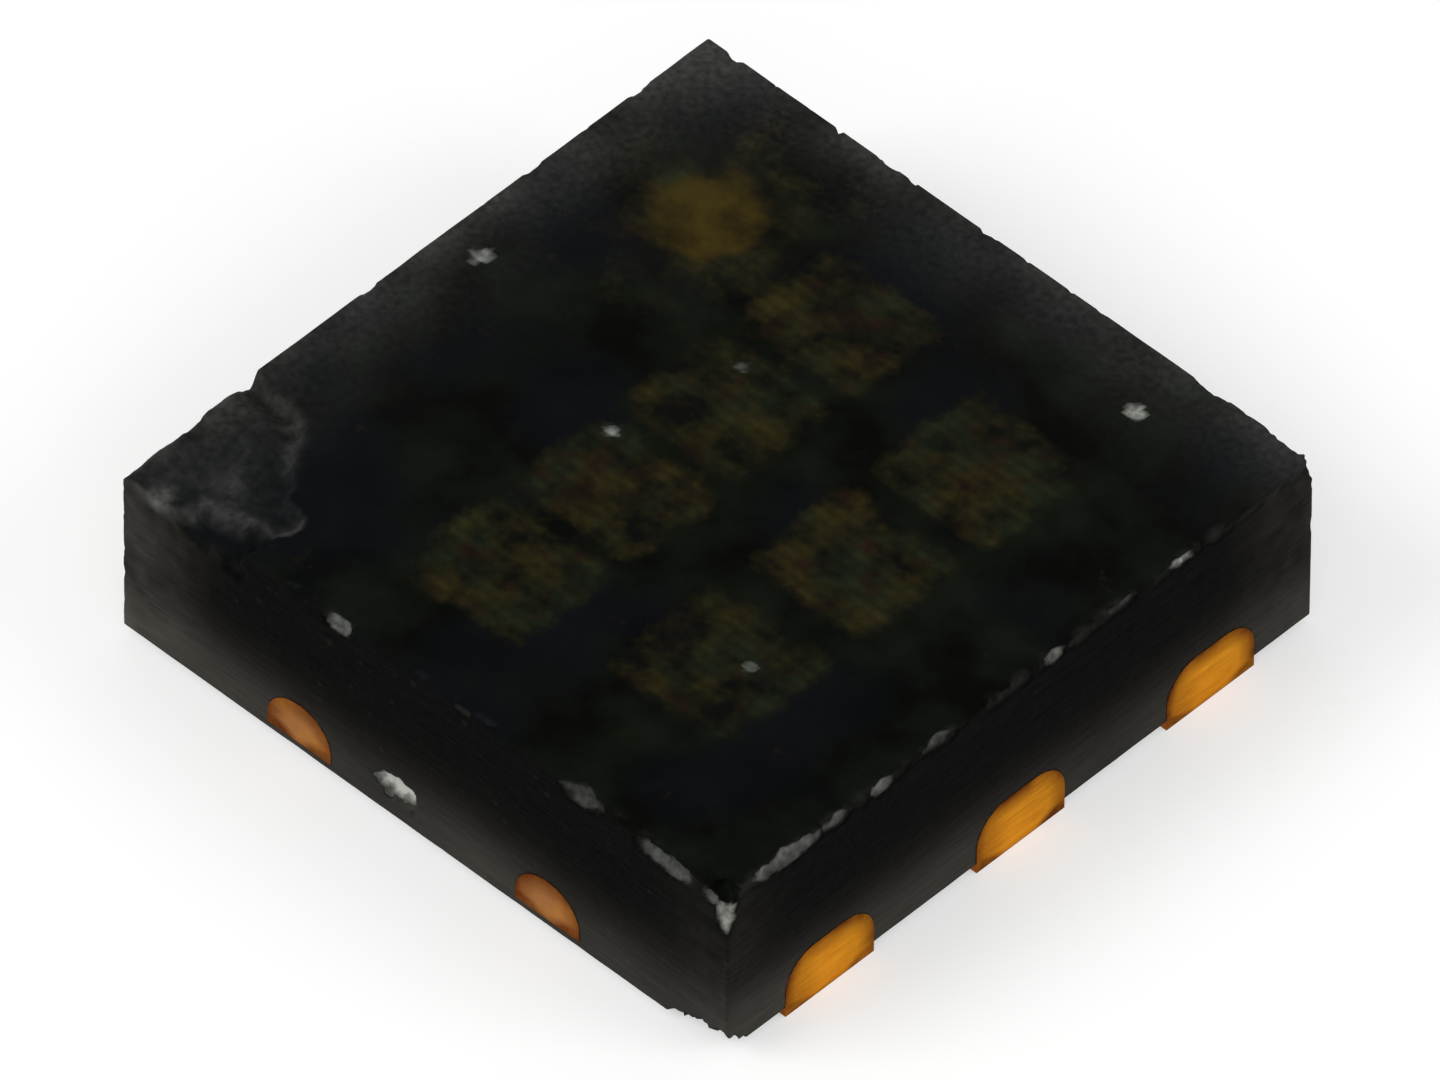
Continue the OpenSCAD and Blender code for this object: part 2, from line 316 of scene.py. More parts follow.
blockLow, blockHigh = solidBox("mold_body")
body = {
    # Layers of noise are given as height, size of the patches and seed
    "half": blockHigh[0],
    "low": blockLow[2],
    "top": blockHigh[2],
    "uprightR": 0.010,
    "arrisR": 0.008,
    "sharpAngle": 38,       # degrees, past which an edge is shaded sharp
    "weld": 0.00002,        # corners of the inner pieces are one when they are this near

    # Steps of the lattice beside the arrises, over the break and the dot, elsewhere, at the
    # foot of the sides and at their shoulder. Then where each stretch ends: distance from an
    # edge, x, y, and the heights of foot and shoulder.
    "fine": 0.006,
    "mid": 0.0068,
    "wide": 0.0120,
    "footStep": 0.010,
    "shoulderStep": 0.0085,
    "edge": 0.03,
    "midX": -0.42,
    "midY": (-0.45, 0.42, 0.75),
    "foot": 0.024,
    "shoulder": 0.09,

    # Sides
    "setBack": 0.0012,                  # they lie this far behind the copper that they frame
    "sideLumps": (0.0006, 0.05, 41),
    "plucked": (0.0010, 0.022, 44),     # grains that the saw tore out
    "pluckedFrom": (0.5, 1.0),          # their noise, where one begins and where it is whole
    "plainFrom": 0.06,                  # share of the underside's half width that takes the sides' painted sheen

    # Top
    "swellMean": 0.0010,
    "swell": [(0.0006, 0.3, 21), (0.0004, 0.07, 22)],
    "dot": (-0.58, 0.58, 0.145, 0.008),     # x, y, radius, depth
    "dotWall": (-0.005, 0.007),             # distances inwards at the top and foot of its wall
    "markDepth": 0.0015,
    "markWall": (-0.02, 0.03),
    "markHalfX": 0.200,
    "markCorner": 0.05,
    "marks": [
        # x of the row's middle line, then the y limits of its fields
        (0.46, [(0.23, 0.60), (-0.18, 0.17), (-0.66, -0.28)]),
        (-0.115, [(0.37, 0.70), (-0.03, 0.32), (-0.38, -0.07), (-0.78, -0.43)]),
    ],

    # Break: its outline, and that of the deeper hollow along its -Y edge
    "spall": [(-1.2, -0.53), (-1.0, -0.54), (-0.93, -0.55), (-0.86, -0.56), (-0.79, -0.585),
              (-0.745, -0.635), (-0.705, -0.69), (-0.67, -0.75), (-0.63, -0.785), (-0.58, -0.795),
              (-0.55, -0.84), (-0.575, -0.90), (-0.59, -1.0), (-0.59, -1.2), (-1.2, -1.2)],
    "hollow": [(-0.90, -1.2), (-0.89, -1.0), (-0.84, -0.975), (-0.795, -0.93), (-0.74, -0.905),
               (-0.66, -0.895), (-0.595, -0.865), (-0.54, -0.81), (-0.46, -0.90), (-0.50, -1.2)],
    "spallEdge": [   # y along the -X side, depth of the break there
        (-1.00, 0.029), (-0.80, 0.030), (-0.77, 0.036), (-0.745, 0.030), (-0.71, 0.015),
        (-0.65, 0.017), (-0.61, 0.022), (-0.585, 0.038), (-0.545, 0.058), (-0.50, 0.058)],
    "spallTip": 0.020,                      # depth at its inner end
    "spallInland": (-0.99, -0.62),          # x from which and to which it takes that depth
    "spallLeast": 0.004,
    "spallWall": 0.034,                     # width of the slope down from its outline
    "spallGutter": (0.012, 0.045, 0.035),   # extra depth, distance in from the outline, width
    "spallRings": (-1.0, -0.95, 0.0030, 0.022),     # middle x and y, height, radius per radian
    "ringWander": [(3.0, 0.16, 31)],
    "spallRough": [(0.0110, 0.11, 32), (0.0050, 0.04, 33)],
    "spallRaise": 0.004,
    "hollowDrop": (0.034, 0.045),           # extra depth of the hollow, width of its step
    "outlineWander": [(0.010, 0.045, 5), (0.006, 0.02, 6)],
    "hollowWander": 1.5,                    # times that for the hollow's outline

    # Pale shares, 1 where the resin is bare: over the break, with painted shade in its hollow and
    # painted highlights on it, then a painted sheen along the far edges
    "floorPale": 0.017,
    "floorPaleIn": (0.002, 0.014),          # distances in over which it begins
    # Painted shade: the break's paleness is cut down in the hollow below its ridge
    "hollowShade": (0.8, 0.020, 0.050),      # share lost in the hollow, between these distances in
    "breakMottle": [(0.45, 0.09, 36), (0.40, 0.032, 37)],
    "breakRim": 0.012,                      # distance in over which ridge and glint begin
    # Painted highlights on the break: the streak down its inner wall, the ridge above the hollow with
    # its bright peaks, the round patch and the glint
    "streak": (0.046, 0.022, 0.020),        # share, distance in from the outline, width
    "streakX": (-0.95, -0.82),
    "streakY": (-0.77, -0.69),
    "ridge": (0.016, 0.004, 0.018),         # share, distance into the hollow, width
    "peaks": [
        # x, width and extra share of the ridge's bright lengths
        (-0.89, 0.045, 0.105), (-0.79, 0.05, 0.0546), (-0.66, 0.04, 0.042), (-0.585, 0.025, 0.0378)],
    "patch": (-0.79, -0.845, 0.038, 0.038),     # x, y, radius, share
    "glint": (-0.885, -0.975, 0.032, 0.12),
    # Painted sheen along the -X side of the break
    "outer": (0.044, 0.07),                 # share at the -X side, and its reach
    "outerIn": 0.02,
    "outerY": (-1.0, -0.85),
    "paleDepths": (0.004, 0.045),           # depths under the edge over which all that fades
    # Painted sheen, lighter along the far edges of the top
    "farEdgeSheen": (0.067, 0.060, 0.10),         # share along the -X and the +Y edge, and its reach
    "farEdgeSheenDeep": 0.03,
    "farEdgeSheenMottle": [(0.5, 0.12, 38)],

    # Nicks along the top arris and wear of the uprights: bands as distances from the edge, then
    # the noise where each begins and where it is whole, its depth and its pale share
    "edgeNoise": [(1.0, 0.038, 81), (0.6, 0.016, 84)],
    "arrisBand": (0.035, 0.004),
    "arrisDepths": (0.045, 0.012),
    "uprightBand": (0.030, 0.008),
    "uprightDepth": 0.02,
    "nick": (0.35, 1.1, 0.010, 0.028),
    "wear": (-0.1, 0.9, 0.004, 0.022),

    # Chips
    "chipSlope": 0.8,                       # fall of the line that they are scooped along
    "chipLumps": [(0.26, 0.040, 71), (0.16, 0.016, 74)],
    "chipMean": 0.85,                       # mean of their mottle
    "chipMottle": [(0.45, 0.022, 77)],
    "chipFade": 0.55,                       # how far in a chip is wholly pale, 1 in its middle
    "chips": [
        # x, y, z of the middle, radius along the arris, radius across it, depth, paleness. At a corner
        # and amid the top, the two radii are level and upright. The paleness is bare broken resin; on
        # the scars along the arrises it also paints the glint of light off them, a painted highlight.
        (1.0, -1.0, 0.56, 0.120, 0.080, 0.022, 0.00),     # front corner, worn down
        (1.0, -1.0, 0.495, 0.054, 0.088, 0.026, 0.46),    # and its fresh scar
        (0.945, -1.0, 0.518, 0.030, 0.028, 0.012, 0.13),  # -Y arris
        (0.79, -1.0, 0.515, 0.110, 0.036, 0.014, 0.16),
        (0.51, -1.0, 0.53, 0.090, 0.054, 0.015, 0.15),
        (0.12, -1.0, 0.548, 0.030, 0.018, 0.008, 0.05),
        (-0.28, -1.0, 0.530, 0.050, 0.044, 0.016, 0.30),
        (1.0, -0.79, 0.535, 0.150, 0.034, 0.014, 0.25),   # +X arris
        (1.0, -0.63, 0.540, 0.060, 0.028, 0.011, 0.20),
        (1.0, -0.47, 0.538, 0.045, 0.026, 0.012, 0.34),
        (1.0, -0.27, 0.55, 0.080, 0.034, 0.011, 0.17),
        (1.0, 0.115, 0.545, 0.032, 0.024, 0.012, 0.28),
        (1.0, 0.34, 0.552, 0.060, 0.018, 0.008, 0.10),
        (1.0, 0.545, 0.548, 0.056, 0.030, 0.013, 0.62),
        (1.0, 1.0, 0.53, 0.060, 0.110, 0.020, 0.05),      # right corner, worn
        (0.90, 1.0, 0.555, 0.090, 0.030, 0.012, 0.05),    # far arrises
        (0.67, 1.0, 0.555, 0.080, 0.026, 0.011, 0.05),
        (-0.40, 1.0, 0.555, 0.040, 0.024, 0.010, 0.05),
        (-1.0, 0.76, 0.555, 0.060, 0.024, 0.012, 0.05),
        (-1.0, 0.40, 0.555, 0.050, 0.020, 0.010, 0.05),
        (-1.0, -0.17, 0.555, 0.040, 0.020, 0.012, 0.05),
        (-0.76, -1.0, 0.475, 0.060, 0.036, 0.016, 0.00),  # dark scoops under the break
        (-0.625, -1.0, 0.480, 0.050, 0.034, 0.016, 0.00),
        (-0.092, -1.0, 0.157, 0.092, 0.077, 0.022, 1.70), # pale scar low on the side
        (0.590, 0.816, 0.56, 0.046, 0.030, 0.009, 1.05),  # specks on the top
        (0.675, 0.770, 0.56, 0.034, 0.024, 0.009, 0.00),
        (0.513, -0.422, 0.56, 0.030, 0.022, 0.006, 0.34),
        (-0.245, -0.105, 0.56, 0.042, 0.036, 0.011, 0.60),
        (-0.187, 0.269, 0.56, 0.040, 0.026, 0.005, 0.20),
        (-0.880, 0.088, 0.56, 0.048, 0.040, 0.012, 1.00),
        (0.93, -1.0, 0.03, 0.200, 0.100, 0.026, 0.10),    # low front corner, worn round
        (1.0, -1.0, 0.03, 0.130, 0.090, 0.024, 0.10),
    ],
}


# Places of the lattice lines: each stretch between two stops in equal steps, near its own one
def gridLines(stops, steps):
    parts = [np.linspace(a, b, max(1, round((b - a) / s)), endpoint=False)
             for a, b, s in zip(stops[:-1], stops[1:], steps)]
    return np.append(np.concatenate(parts), stops[-1])


# Distance to a closed outline, above 0 within it and below 0 outside: the least distance to
# its straight sides, within where a line towards +X crosses an odd number of them
def distanceInside(x, y, outline):
    points = np.array(outline)
    nearest = np.full(x.shape, np.inf)
    inside = np.zeros(x.shape, bool)
    for (ax, ay), (bx, by) in zip(points, np.roll(points, -1, axis=0)):
        ex, ey = bx - ax, by - ay
        t = np.clip(((x - ax) * ex + (y - ay) * ey) / (ex * ex + ey * ey), 0, 1)
        nearest = np.minimum(nearest, np.hypot(x - ax - t * ex, y - ay - t * ey))
        crosses = (ay > y) != (by > y)
        inside ^= crosses & (x < ax + (y - ay) * ex / (ey if ey else tiny))
    return np.where(inside, nearest, -nearest)


# Distance into the nearest laser-marked field, below 0 outside them all: the corner's radius
# less the distance to the field's rectangle, drawn in by that radius
def markField(x, y):
    best = np.full(x.shape, -np.inf)
    corner = body["markCorner"]
    for middle, spans in body["marks"]:
        for low, high in spans:
            beyondX = np.abs(x - middle) - (body["markHalfX"] - corner)
            beyondY = np.abs(y - (low + high) / 2) - ((high - low) / 2 - corner)
            outside = np.hypot(np.maximum(beyondX, 0), np.maximum(beyondY, 0))
            inside = np.minimum(np.maximum(beyondX, beyondY), 0)
            best = np.maximum(best, corner - outside - inside)
    return best


# Distance into the broken corner, and into its hollow, their outlines roughened by noise
def spallFields(x, y):
    wander = flatNoise(x, y, body["outlineWander"])
    into = distanceInside(x, y, body["spall"]) + wander
    front = distanceInside(x, y, body["hollow"]) + body["hollowWander"] * wander
    return into, front


# How deep the break's floor lies. It runs from its depth at the -X side to that at its tip,
# with a gutter along its inner wall, a step down into the hollow, rings round the corner,
# height x cos(radius / radius per radian), and rough noise made of |noise|.
def spallDepth(x, y):
    into, front = spallFields(x, y)
    rim = np.interp(y, *zip(*body["spallEdge"]))
    inland = ease(x, *body["spallInland"])
    floor = rim * (1 - inland) + body["spallTip"] * inland
    gutter, gutterIn, gutterWidth = body["spallGutter"]
    floor += gutter * bell(into, gutterIn, gutterWidth) * inland
    drop, dropWidth = body["hollowDrop"]
    floor += drop * ease(front, 0.0, dropWidth)
    ringX, ringY, ringHeight, ringRadius = body["spallRings"]
    turns = np.hypot(x - ringX, y - ringY) / ringRadius + flatNoise(x, y, body["ringWander"])
    floor += ringHeight * np.cos(turns) - body["spallRaise"]
    for height, size, seed in body["spallRough"]:
        floor += height * np.abs(patches(x, y, size, seed))
    return np.maximum(floor, body["spallLeast"]) * ease(into, 0.0, body["spallWall"])


# How far the top lies below the flat: the deepest of the dot and the laser fields, plus a
# gentle swell, or the break where that is deeper
def topDepth(x, y):
    dotX, dotY, dotR, dotDepth = body["dot"]
    depth = dotDepth * ease(dotR - np.hypot(x - dotX, y - dotY), *body["dotWall"])
    depth = np.maximum(depth, body["markDepth"] * ease(markField(x, y), *body["markWall"]))
    depth += body["swellMean"] + flatNoise(x, y, body["swell"])
    return np.maximum(depth, spallDepth(x, y))


# Points and faces of a closed box lattice, whose underside is one flat face, and the ring of
# points round that face. The points are those of a grid in space that lie on a side or on top.
def latticeBox():
    half, low, top, edge = body["half"], body["low"], body["top"], body["edge"]
    fine, mid, wide = body["fine"], body["mid"], body["wide"]
    across = gridLines([-half, -half + edge, body["midX"], half - edge, half],
                       [fine, mid, wide, fine])
    along = gridLines([-half, -half + edge, *body["midY"], half - edge, half],
                      [fine, mid, wide, mid, wide, fine])
    rise = gridLines([low, low + body["foot"], top - body["shoulder"], top - edge, top],
                     [body["footStep"], wide, body["shoulderStep"], fine])
    n, m, o = len(across), len(along), len(rise)
    i, j, k = np.meshgrid(np.arange(n), np.arange(m), np.arange(o), indexing="ij")
    used = (i == 0) | (i == n - 1) | (j == 0) | (j == m - 1) | (k == o - 1)
    ids = np.full(used.shape, -1)
    ids[used] = np.arange(used.sum())
    points = np.stack([across[i[used]], along[j[used]], rise[k[used]]], axis=1)
    sheets = [ids[:, :, -1], ids[:, 0, :], ids[-1, :, :], ids[::-1, -1, :], ids[0, ::-1, :]]
    faces = np.concatenate([
        np.stack([s[:-1, :-1], s[1:, :-1], s[1:, 1:], s[:-1, 1:]], axis=-1).reshape(-1, 4)
        for s in sheets])
    ring = np.concatenate([ids[:-1, 0, 0], ids[-1, :-1, 0], ids[:0:-1, -1, 0], ids[0, :0:-1, 0]])
    return points, faces, ring[::-1]


# Share by which an offset (a, b) into a corner zone shrinks to reach the corner's arc: its
# longer part over its length, so that a square of offsets becomes a quarter disc
def ontoArc(a, b):
    longest = np.maximum(np.abs(a), np.abs(b))
    return np.where((a != 0) & (b != 0), longest / np.maximum(np.hypot(a, b), tiny), 1.0)


# Rounds the top arris, then the upright edges, by pulling each corner zone onto its arc
def roundedBody(p):
    x, y, z = p.T.copy()
    half, top, r = body["half"], body["top"], body["arrisR"]
    reach = np.maximum(np.abs(x), np.abs(y))
    out = np.clip(reach - (half - r), 0, None)
    up = np.clip(z - (top - r), 0, None)
    pull = ontoArc(out, up)
    scale = np.where(out > 0, (half - r + out * pull) / np.maximum(reach, tiny), 1.0)
    x, y = x * scale, y * scale
    z = np.where((out > 0) & (up > 0), top - r + up * pull, z)
    r = body["uprightR"]
    a = np.clip(np.abs(x) - (half - r), 0, None)
    b = np.clip(np.abs(y) - (half - r), 0, None)
    pull = ontoArc(a, b)
    x = np.where(a > 0, np.sign(x) * (half - r + a * pull), x)
    y = np.where(b > 0, np.sign(y) * (half - r + b * pull), y)
    return np.stack([x, y, z], axis=1)


# Level unit vector from the nearest side towards the middle, turned evenly round the corners:
# the offset past the uprights' centres, over its length and reversed
def inwards(p):
    reach = body["half"] - body["uprightR"]
    a = np.clip(np.abs(p[:, 0]) - reach, 0, None) * np.sign(p[:, 0])
    b = np.clip(np.abs(p[:, 1]) - reach, 0, None) * np.sign(p[:, 1])
    length = np.maximum(np.hypot(a, b), tiny)
    return -np.stack([a / length, b / length, np.zeros(len(p))], axis=1)


# Scoops each chip out with a lumpy ellipsoid. The points within it move in and down along one line to
# its far wall, and turn pale: bare resin, and on the arris scars a painted highlight too. With q the
# point and v the line, both in the ellipsoid's own radii, they move by the larger root t of |q + t v| =
# 1.
def carveChips(p, pale):
    half, middle = body["half"], (body["low"] + body["top"]) / 2
    for cx, cy, cz, along, across, deep, light in body["chips"]:
        onX, onY = abs(cx) >= half, abs(cy) >= half
        fall = -body["chipSlope"] if cz > middle else body["chipSlope"]
        way = np.array([-np.sign(cx) * onX, -np.sign(cy) * onY, fall])
        way /= np.linalg.norm(way)
        radii = np.array([along, along, across])
        if onX != onY:
            radii[0 if onX else 1] = across
        centre = np.array([cx, cy, cz]) - way * (radii.min() - deep)
        grow = 1 + spaceNoise(p, body["chipLumps"])
        q = (p - centre) / (radii * grow[:, None])
        v = way / radii
        vv = (v * v).sum() / grow ** 2
        qv = (q @ v) / grow
        c = (q * q).sum(axis=1) - 1
        t = (-qv + np.sqrt(np.maximum(qv * qv - vv * c, 0))) / vv
        p = p + np.where(c < 0, t, 0)[:, None] * way
        mottle = body["chipMean"] + spaceNoise(p, body["chipMottle"])
        pale = np.maximum(pale, light * mottle * ease(-c, 0.0, body["chipFade"]))
    return p, pale


# Random nicks along the top arris, and wear of the uprights: each cuts back by its depth x
# ease(noise) x ease(distance from the edge), inwards, and at a nick downwards too
def nickEdges(p, pale):
    lesser, reach = np.sort(np.abs(p[:, :2]), axis=1).T
    below = body["top"] - p[:, 2]
    arris = ease(body["half"] - reach, *body["arrisBand"]) * ease(below, *body["arrisDepths"])
    upright = ease(body["half"] - lesser, *body["uprightBand"])
    upright *= ease(below, 0.0, body["uprightDepth"])
    rough = spaceNoise(p, body["edgeNoise"])
    begin, whole, nickDepth, nickPale = body["nick"]
    nick = ease(rough, begin, whole) * arris
    begin, whole, wearDepth, wearPale = body["wear"]
    worn = ease(rough, begin, whole) * upright
    p = p + (inwards(p) * nickDepth + np.array([0, 0, -nickDepth])) * nick[:, None]
    p = p + inwards(p) * wearDepth * worn[:, None]
    return p, np.maximum(pale, nickPale * nick + wearPale * worn)


# Paleness of the break: a pale floor of bare resin, cut down in the hollow as painted shade, then
# painted highlights: a soft streak down the inner wall, a ridge above the hollow with bright lengths, a
# round patch, a glint at the side and a painted sheen along the -X side. The sum is mottled and fades
# out below the broken edge. Streak, ridge, patch and glint are bells.
def breakPaleness(x, y, z):
    into, front = spallFields(x, y)
    onRim = ease(into, 0.0, body["breakRim"])
    loss, lossFrom, lossTo = body["hollowShade"]
    pale = body["floorPale"] * ease(into, *body["floorPaleIn"])
    pale *= 1 - loss * ease(front, lossFrom, lossTo)
    share, middle, width = body["streak"]
    pale += share * bell(into, middle, width) * ease(y, *body["streakY"]) * ease(x, *body["streakX"])
    share, middle, width = body["ridge"]
    share = share + sum(extra * bell(x, at, wide) for at, wide, extra in body["peaks"])
    pale += share * bell(front, middle, width) * onRim
    atX, atY, radius, share = body["patch"]
    pale += share * bell(np.hypot(x - atX, y - atY), 0.0, radius)
    atX, atY, radius, share = body["glint"]
    pale += share * bell(np.hypot(x - atX, y - atY), 0.0, radius) * onRim
    share, reach = body["outer"]
    outer = np.exp(-(x + body["half"]) / reach) * ease(y, *body["outerY"])
    pale += share * outer * ease(into, 0.0, body["outerIn"])
    below = body["top"] - topDepth(x, y) - z
    return pale * (1 + flatNoise(x, y, body["breakMottle"])) * (1 - ease(below, *body["paleDepths"]))


# Paleness before the chips: that of the break, and a painted sheen along the -X and the +Y edge that
# fades with exp(-distance / reach)
def startPaleness(p):
    x, y, z = p.T
    half, top = body["half"], body["top"]
    shareX, shareY, reach = body["farEdgeSheen"]
    farEdgeSheen = shareX * np.exp((-x - half) / reach) + shareY * np.exp((y - half) / reach)
    farEdgeSheen *= ease(z, top - body["farEdgeSheenDeep"], top) * (1 + flatNoise(x, y, body["farEdgeSheenMottle"]))
    return breakPaleness(x, y, z) + farEdgeSheen


# The lattice, rounded, then sunk by the top's depth. A point of a side sinks by the cube of
# its share of the height, so the sides give way below a sunken top. The sides stand back
# unevenly, and chips and nicks are cut last.
def bodySurface():
    points, faces, ring = latticeBox()
    p = roundedBody(points)
    low, top = body["low"], body["top"]
    share = ((p[:, 2] - low) / (top - low)) ** 3
    p[:, 2] -= topDepth(p[:, 0], p[:, 1]) * share
    onSide = np.abs(points[:, :2]).max(axis=1) >= body["half"]
    depth, size, seed = body["plucked"]
    pluck = depth * ease(lumps(p, size, seed), *body["pluckedFrom"])
    depth, size, seed = body["sideLumps"]
    back = body["setBack"] + depth * (1 + lumps(p, size, seed)) + pluck
    p += inwards(p) * (back * onSide)[:, None]
    p, pale = carveChips(p, startPaleness(p))
    p, pale = nickEdges(p, pale)
    return p, faces, ring, pale


# The mesh: that surface, with a second ring of points on the underside, the first one drawn in towards
# the middle, so that the painted sheen of the sides ends there
def buildBody():
    p, faces, ring, pale = bodySurface()
    inset = p[ring] * (1 - body["plainFrom"])
    inset[:, 2] = body["low"]
    inner = len(p) + np.arange(len(ring))
    rim = np.stack([ring, np.roll(ring, -1), np.roll(inner, -1), inner], axis=1)
    p = np.concatenate([p, inset])
    pale = np.concatenate([pale, np.zeros(len(ring))])
    mesh = bpy.data.meshes.new("moldedBody")
    mesh.from_pydata((p * mm).tolist(), [], faces.tolist() + rim.tolist() + [inner.tolist()])
    mesh.update()
    item = bpy.data.objects.new("moldedBody", mesh)
    scene.collection.objects.link(item)
    mesh.attributes.new("pale", "FLOAT", "POINT").data.foreach_set("value", pale.astype(np.float32))
    return item


moldedBody = buildBody()
print("body surface made, faces:", len(moldedBody.data.polygons))


# Cuts the room for the copper, chip and wires with merged copies of their solids
def cutRoom(item, names):
    cutters = []
    for name in names:
        copy = bpy.data.objects.new("cut_" + name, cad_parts[name].data.copy())
        scene.collection.objects.link(copy)
        weld = copy.modifiers.new("weld", "WELD")
        weld.merge_threshold = body["weld"] * mm
        cutters.append(copy)
        cut = item.modifiers.new(name, "BOOLEAN")
        cut.operation = "DIFFERENCE"
        cut.solver = "MANIFOLD"
        cut.object = copy
    graph = bpy.context.evaluated_depsgraph_get()
    mesh = bpy.data.meshes.new_from_object(item.evaluated_get(graph))
    item.modifiers.clear()
    item.data = mesh
    for copy in cutters:
        bpy.data.objects.remove(copy)


cutRoom(moldedBody, [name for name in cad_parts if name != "mold_body"])
moldedBody.data.shade_smooth()
moldedBody.data.set_sharp_from_angle(angle=math.radians(body["sharpAngle"]))
print("room cut, faces:", len(moldedBody.data.polygons))


# Finish of the body

compound = {
    # Shares at the points. Distances inwards from the sides and depths below the top go from
    # where a finish begins to where it is whole.
    "sawnIn": (0.020, 0.006),
    "sawnDepths": (0.004, 0.016),
    "topIn": (0.012, 0.020),
    "topDepths": (0.09, 0.08),
    # Painted sheen on the sides: a painted reflection of the pale table up their foot, and a painted
    # highlight beside the uprights
    "footSheen": (0.095, 0.05, 0.14),        # share, height of its middle, width
    "footPatches": [(0.25, 0.35, 92)],
    "haze": [(0.50, 0.11, 93), (0.40, 0.035, 94)],
    "hazeShare": (0.018, 0.037, 0.018),     # beside all uprights, more at -X, more at +X +Y
    "hazeShareFrom": (0.5, 0.9),
    "hazeWidth": (0.15, 0.09, 0.05),
    "hazeWidthFrom": (0.3, 0.8),
    "hazeFarFrom": (1.5, 1.8),              # x + y near the +X +Y upright
    "fieldEdge": (-0.035, 0.050),           # distances inwards over which the burning begins
    "dotEdge": (-0.022, 0.032),
    "dotWander": [(0.020, 0.06, 91)],
    "soot": (0.70, 0.12),                   # share at the dot's rim, and how far it reaches
    "halo": (0.10, 0.06),
    "dotDim": (0.25, -0.03, 0.20),          # share lost across the dot, and between where

    # Colours, sizes and heights
    "moulded": "#050604",
    "mouldedLight": "#11140e",
    "mouldedBlue": "#0a0b10",
    "sawn": "#030303",
    "sawnLight": "#080807",
    "grainPale": "#151513",
    "grainDark": "#020202",
    "broken": "#b7b9b0",
    "paintedSheen": "#b2aca0",
    "laserOlive": "#322c14",
    "laserGreen": "#212617",
    "laserRed": "#281a10",
    "laserDark": "#0b0c09",
    "dot": "#1f1a0b",
    "dotLight": "#3f3413",
    "cloudSize": 0.19,
    "driftSize": 0.42,
    "blotchSize": 0.105,
    "emberSize": 0.075,
    "fineSize": 0.020,
    "tornSize": 0.045,
    "sawPitch": 0.010,
    "sawStretch": (14.0, 14.0, 1.0),    # the streaks lie level, so many times as long as high
    "grainPitch": 0.034,
    "scanPitch": 0.036,
    "heightUnit": 0.001,
    "skinHeight": 2.2,      # in that unit
    "cutHeight": 1.6,
    "tornHeight": 14.0,
    "gloss": 0.011,         # far under the usual 0.5, which would grey so dark a skin
}


# Share of each finish at the finished mesh's points: sawn sides, laser fields, dot, and a painted sheen
# on the sides: a painted reflection of the pale table, a bell up the foot of the sides, and a painted
# highlight, a bell beside the uprights, both patchy. Soot and a faint halo fade round the dot with
# exp(-distance / reach).
def setFinishShares(item):
    mesh = item.data
    x, y, z = pointsOf(mesh).T
    lesser, reach = np.sort(np.abs(np.stack([x, y])), axis=0)
    fromSide, fromUpright, below = body["half"] - reach, body["half"] - lesser, body["top"] - z

    dotX, dotY, dotR, _ = body["dot"]
    fromRim = dotR - np.hypot(x - dotX, y - dotY) + flatNoise(x, y, compound["dotWander"])
    outside = np.minimum(fromRim, 0)
    soot, halo = (share * np.exp(outside / fade) for share, fade in (compound["soot"], compound["halo"]))
    loss, lossFrom, lossTo = compound["dotDim"]
    dim = 1 - loss * ease(y - dotY - (x - dotX), lossFrom, lossTo)
    onTop = ease(below, *compound["topDepths"]) * ease(fromSide, *compound["topIn"])

    sawn = ease(fromSide, *compound["sawnIn"]) * ease(below, *compound["sawnDepths"])
    farCorner = ease(x + y, *compound["hazeFarFrom"])
    level, moreLeft, moreFar = compound["hazeShare"]
    level = level + moreLeft * ease(-x, *compound["hazeShareFrom"]) + moreFar * farCorner
    width, moreLeft, moreFar = compound["hazeWidth"]
    width = width + moreLeft * ease(-x, *compound["hazeWidthFrom"]) + moreFar * farCorner
    byUpright = level * bell(fromUpright, 0.0, width) * (1 + flatNoise(x + y, z, compound["haze"]))
    share, middle, width = compound["footSheen"]
    foot = share * bell(z, middle, width) * (1 + flatNoise(x + y, z, compound["footPatches"]))
    shares = {
        "sawn": sawn,
        "paintedSheen": sawn * (byUpright + foot),
        "laser": onTop * np.maximum(ease(markField(x, y), *compound["fieldEdge"]), soot),
        "dot": onTop * dim * np.maximum(ease(fromRim, *compound["dotEdge"]), halo),
    }
    for name, values in shares.items():
        attribute = mesh.attributes.new(name, "FLOAT", "POINT")
        attribute.data.foreach_set("value", values.astype(np.float32))


setFinishShares(moldedBody)
print("finish shares set")


# Skin as it left the mould: near black, with clouds, a bluish drift and a fine mottle
def mouldedSkin(tree, place):
    cloud = noise(tree, place, compound["cloudSize"], 5.0)
    drift = noise(tree, place, compound["driftSize"], 2.0)
    fine = noise(tree, place, compound["fineSize"], 3.0)
    cloudShare = remap(tree, cloud, 0.38, 0.66)
    skin = blend(tree, cloudShare, compound["moulded"], compound["mouldedLight"])
    driftShare = remap(tree, drift, 0.46, 0.60, 0.0, 0.75)
    skin = blend(tree, driftShare, skin, compound["mouldedBlue"])
    return skin, cloud, fine


